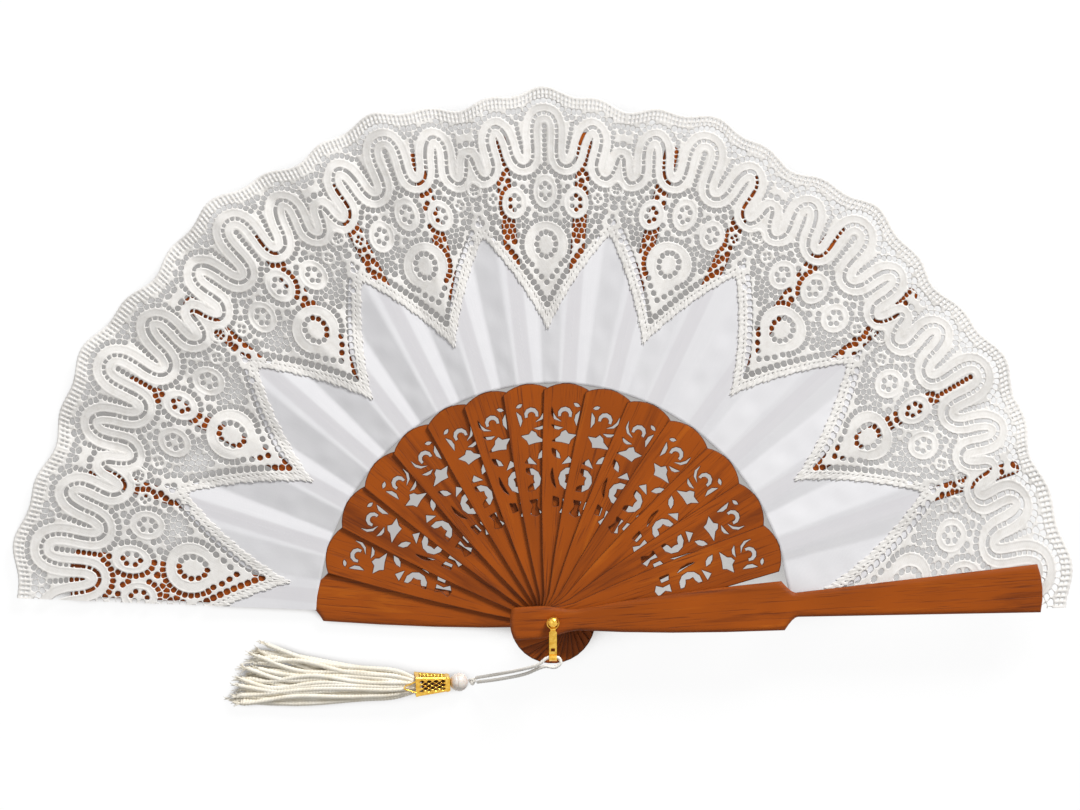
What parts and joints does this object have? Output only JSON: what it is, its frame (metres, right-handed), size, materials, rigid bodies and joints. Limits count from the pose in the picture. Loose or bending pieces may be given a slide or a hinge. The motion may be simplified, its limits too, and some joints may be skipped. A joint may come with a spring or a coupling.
{
  "type": "folding fan",
  "caption": "Open hand fan with pierced wooden sticks, a pleated white cloth leaf with a lace border, and a tassel on a brass link.",
  "frame": {"origin": "on the rivet's axis, at the flat underside of its back head", "axes": "+X towards the front guard's tip, +Y along the middle sticks, +Z from the fan's back to its front"},
  "size_m": [0.4564, 0.2701, 0.0323],
  "materials": {
    "guard_wood": "semi-gloss stained",
    "stick_wood": "semi-gloss stained",
    "brass": "polished",
    "cloth": "plain woven",
    "lace": "tape lace",
    "cord": "twisted cord",
    "bead": "satin",
    "skirt": "twisted strands"
  },
  "bodies": {
    "guard_back": {"guard_back": "guard_wood", "rivet_back_head": "brass", "rivet_pin": "brass", "rivet_ball": "brass", "leaf_cloth_01": "cloth", "leaf_lace_01": "lace"},
    "stick_01": {"stick_01": "stick_wood", "leaf_cloth_02": "cloth", "leaf_lace_02": "lace"},
    "stick_02": {"stick_02": "stick_wood", "leaf_cloth_03": "cloth", "leaf_lace_03": "lace"},
    "stick_03": {"stick_03": "stick_wood", "leaf_cloth_04": "cloth", "leaf_lace_04": "lace"},
    "stick_04": {"stick_04": "stick_wood", "leaf_cloth_05": "cloth", "leaf_lace_05": "lace"},
    "stick_05": {"stick_05": "stick_wood", "leaf_cloth_06": "cloth", "leaf_lace_06": "lace"},
    "stick_06": {"stick_06": "stick_wood", "leaf_cloth_07": "cloth", "leaf_lace_07": "lace"},
    "stick_07": {"stick_07": "stick_wood", "leaf_cloth_08": "cloth", "leaf_lace_08": "lace"},
    "stick_08": {"stick_08": "stick_wood", "leaf_cloth_09": "cloth", "leaf_lace_09": "lace"},
    "stick_09": {"stick_09": "stick_wood", "leaf_cloth_10": "cloth", "leaf_lace_10": "lace"},
    "stick_10": {"stick_10": "stick_wood", "leaf_cloth_11": "cloth", "leaf_lace_11": "lace"},
    "stick_11": {"stick_11": "stick_wood", "leaf_cloth_12": "cloth", "leaf_lace_12": "lace"},
    "stick_12": {"stick_12": "stick_wood", "leaf_cloth_13": "cloth", "leaf_lace_13": "lace"},
    "stick_13": {"stick_13": "stick_wood", "leaf_cloth_14": "cloth", "leaf_lace_14": "lace"},
    "stick_14": {"stick_14": "stick_wood", "leaf_cloth_15": "cloth", "leaf_lace_15": "lace"},
    "guard_front": {"guard_front": "guard_wood"},
    "link": {"link_ring": "brass", "link_strap": "brass"},
    "tassel": {"tassel_cord": "cord", "tassel_knot": "cord", "tassel_bead": "bead", "tassel_cap": "brass", "tassel_skirt": "skirt"}
  },
  "joints": [
    {"name": "fold_01", "type": "hinge", "parent": "guard_back", "child": "stick_01", "pos_m": [0, 0, 0], "axis": [0, 0, 1], "range_deg": [0, 12.05], "deforming": ["leaf_cloth_01", "leaf_lace_01"]},
    {"name": "fold_02", "type": "hinge", "parent": "stick_01", "child": "stick_02", "pos_m": [0, 0, 0], "axis": [0, 0, 1], "range_deg": [0, 11.87], "deforming": ["leaf_cloth_02", "leaf_lace_02"]},
    {"name": "fold_03", "type": "hinge", "parent": "stick_02", "child": "stick_03", "pos_m": [0, 0, 0], "axis": [0, 0, 1], "range_deg": [0, 11.55], "deforming": ["leaf_cloth_03", "leaf_lace_03"]},
    {"name": "fold_04", "type": "hinge", "parent": "stick_03", "child": "stick_04", "pos_m": [0, 0, 0], "axis": [0, 0, 1], "range_deg": [0, 11.14], "deforming": ["leaf_cloth_04", "leaf_lace_04"]},
    {"name": "fold_05", "type": "hinge", "parent": "stick_04", "child": "stick_05", "pos_m": [0, 0, 0], "axis": [0, 0, 1], "range_deg": [0, 10.73], "deforming": ["leaf_cloth_05", "leaf_lace_05"]},
    {"name": "fold_06", "type": "hinge", "parent": "stick_05", "child": "stick_06", "pos_m": [0, 0, 0], "axis": [0, 0, 1], "range_deg": [0, 10.41], "deforming": ["leaf_cloth_06", "leaf_lace_06"]},
    {"name": "fold_07", "type": "hinge", "parent": "stick_06", "child": "stick_07", "pos_m": [0, 0, 0], "axis": [0, 0, 1], "range_deg": [0, 10.23], "deforming": ["leaf_cloth_07", "leaf_lace_07"]},
    {"name": "fold_08", "type": "hinge", "parent": "stick_07", "child": "stick_08", "pos_m": [0, 0, 0], "axis": [0, 0, 1], "range_deg": [0, 10.23], "deforming": ["leaf_cloth_08", "leaf_lace_08"]},
    {"name": "fold_09", "type": "hinge", "parent": "stick_08", "child": "stick_09", "pos_m": [0, 0, 0], "axis": [0, 0, 1], "range_deg": [0, 10.41], "deforming": ["leaf_cloth_09", "leaf_lace_09"]},
    {"name": "fold_10", "type": "hinge", "parent": "stick_09", "child": "stick_10", "pos_m": [0, 0, 0], "axis": [0, 0, 1], "range_deg": [0, 10.73], "deforming": ["leaf_cloth_10", "leaf_lace_10"]},
    {"name": "fold_11", "type": "hinge", "parent": "stick_10", "child": "stick_11", "pos_m": [0, 0, 0], "axis": [0, 0, 1], "range_deg": [0, 11.14], "deforming": ["leaf_cloth_11", "leaf_lace_11"]},
    {"name": "fold_12", "type": "hinge", "parent": "stick_11", "child": "stick_12", "pos_m": [0, 0, 0], "axis": [0, 0, 1], "range_deg": [0, 11.55], "deforming": ["leaf_cloth_12", "leaf_lace_12"]},
    {"name": "fold_13", "type": "hinge", "parent": "stick_12", "child": "stick_13", "pos_m": [0, 0, 0], "axis": [0, 0, 1], "range_deg": [0, 11.87], "deforming": ["leaf_cloth_13", "leaf_lace_13"]},
    {"name": "fold_14", "type": "hinge", "parent": "stick_13", "child": "stick_14", "pos_m": [0, 0, 0], "axis": [0, 0, 1], "range_deg": [0, 12.05], "deforming": ["leaf_cloth_14", "leaf_lace_14"]},
    {"name": "fold_15", "type": "hinge", "parent": "stick_14", "child": "guard_front", "pos_m": [0, 0, 0], "axis": [0, 0, 1], "range_deg": [0, 14.54], "deforming": ["leaf_cloth_15", "leaf_lace_15"]},
    {"name": "link_swing", "type": "hinge", "parent": "guard_back", "child": "link", "pos_m": [0, 0, 0.027], "axis": [0, 0, 1], "range_deg": [-4, 60]},
    {"name": "tassel_swing", "type": "hinge", "parent": "link", "child": "tassel", "pos_m": [0, -0.01555, 0.02805], "axis": [1, 0, 0], "range_deg": [-70, 0]}
  ],
  "couplings": [
    {"joint": "fold_02", "follows": "fold_01", "ratio": 0.98506},
    {"joint": "fold_03", "follows": "fold_01", "ratio": 0.95809},
    {"joint": "fold_04", "follows": "fold_01", "ratio": 0.9244},
    {"joint": "fold_05", "follows": "fold_01", "ratio": 0.89071},
    {"joint": "fold_06", "follows": "fold_01", "ratio": 0.86374},
    {"joint": "fold_07", "follows": "fold_01", "ratio": 0.8488},
    {"joint": "fold_08", "follows": "fold_01", "ratio": 0.8488},
    {"joint": "fold_09", "follows": "fold_01", "ratio": 0.86374},
    {"joint": "fold_10", "follows": "fold_01", "ratio": 0.89071},
    {"joint": "fold_11", "follows": "fold_01", "ratio": 0.9244},
    {"joint": "fold_12", "follows": "fold_01", "ratio": 0.95809},
    {"joint": "fold_13", "follows": "fold_01", "ratio": 0.98506},
    {"joint": "fold_14", "follows": "fold_01", "ratio": 1},
    {"joint": "fold_15", "follows": "fold_01", "ratio": 1.2065}
  ]
}
